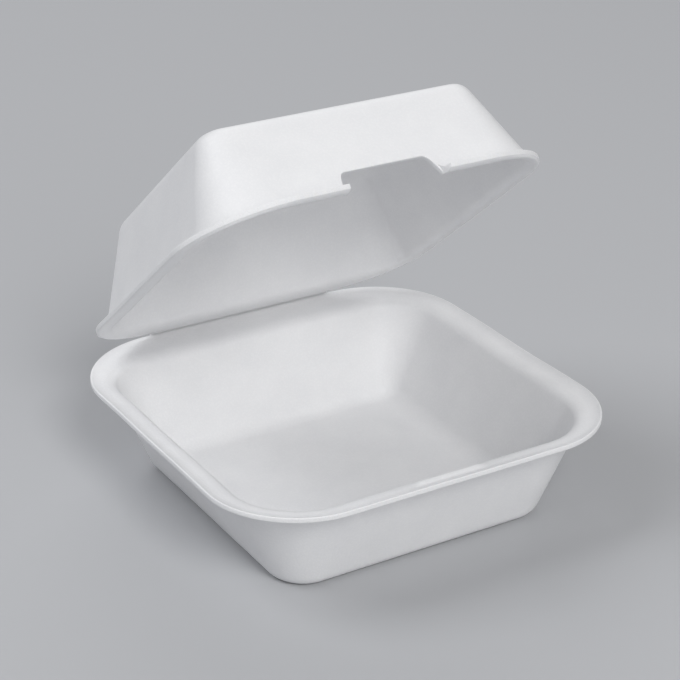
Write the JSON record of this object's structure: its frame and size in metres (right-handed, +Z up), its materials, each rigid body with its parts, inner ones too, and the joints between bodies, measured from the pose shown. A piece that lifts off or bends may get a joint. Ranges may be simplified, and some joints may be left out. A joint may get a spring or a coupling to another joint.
{
  "type": "foam clamshell container",
  "caption": "Square white foam take-out container: a drafted tray with an upturned lip and a shallower lid on a living hinge, held open, with a latch notch at the front.",
  "frame": {"origin": "on the foot's flat underside, below the middle of the tray's lip", "axes": "+Z up, +Y towards the hinge, -Y towards the latch, +X to the right seen from the latch"},
  "size_m": [0.146, 0.1465, 0.1395],
  "materials": {
    "tray_foam": "satin skin of white expanded polystyrene sheet",
    "lid_foam": "satin skin of white expanded polystyrene sheet"
  },
  "bodies": {
    "tray": {"base_tray": "tray_foam"},
    "lid": {"lid": "lid_foam"}
  },
  "joints": [
    {"name": "lid_hinge", "type": "hinge", "parent": "tray", "child": "lid", "pos_m": [0, 0.073, 0.0377], "axis": [-1, 0, 0], "range_deg": [-39.2, 140.8]}
  ]
}
